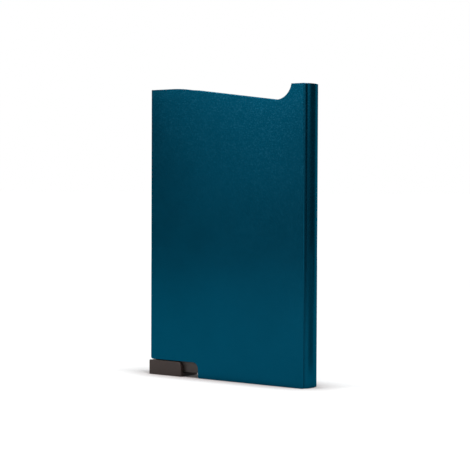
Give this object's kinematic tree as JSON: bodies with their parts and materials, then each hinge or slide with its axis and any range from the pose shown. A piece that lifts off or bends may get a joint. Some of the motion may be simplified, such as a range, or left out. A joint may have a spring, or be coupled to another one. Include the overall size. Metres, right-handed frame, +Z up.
{
  "type": "card holder",
  "caption": "Slim aluminium card holder with a sloping mouth, thumb notch and side slider that swings a stepped lever to lift the cards as a fan.",
  "frame": {"origin": "middle of the foot: the bottom centre of the whole object's box", "axes": "+Z up from the foot to the mouth, +X to the right across the front, +Y from the front face to the rear"},
  "size_m": [0.0652, 0.0088, 0.096],
  "materials": {
    "case": "bead-blasted and anodised petrol blue",
    "base": "moulded, fine matt",
    "slider": "moulded, fine matt",
    "lever": "moulded, smooth",
    "rails": "moulded, fine matt",
    "pins": "drawn bright",
    "felt": "pressed felt"
  },
  "bodies": {
    "case": {"case_tube": "case", "base_frame": "base", "pivot_pin": "pins", "left_side_rail": "rails", "right_side_rail": "rails", "front_left_grip_pad": "felt", "front_right_grip_pad": "felt", "rear_left_grip_pad": "felt", "rear_right_grip_pad": "felt"},
    "slider": {"slider": "slider", "drive_pin": "pins"},
    "lever": {"ejector_lever": "lever"}
  },
  "joints": [
    {"name": "slider_slide", "type": "slide", "parent": "case", "child": "slider", "axis": [1, 0, 0], "range_m": [0, 0.0066]},
    {"name": "lever_swing", "type": "hinge", "parent": "case", "child": "lever", "pos_m": [-0.0276, 0, 0.01576], "axis": [0, -1, 0], "range_deg": [0, 38.01]}
  ],
  "couplings": [
    {"joint": "lever_swing", "follows": "slider_slide", "rad_per_m": 100.49}
  ]
}
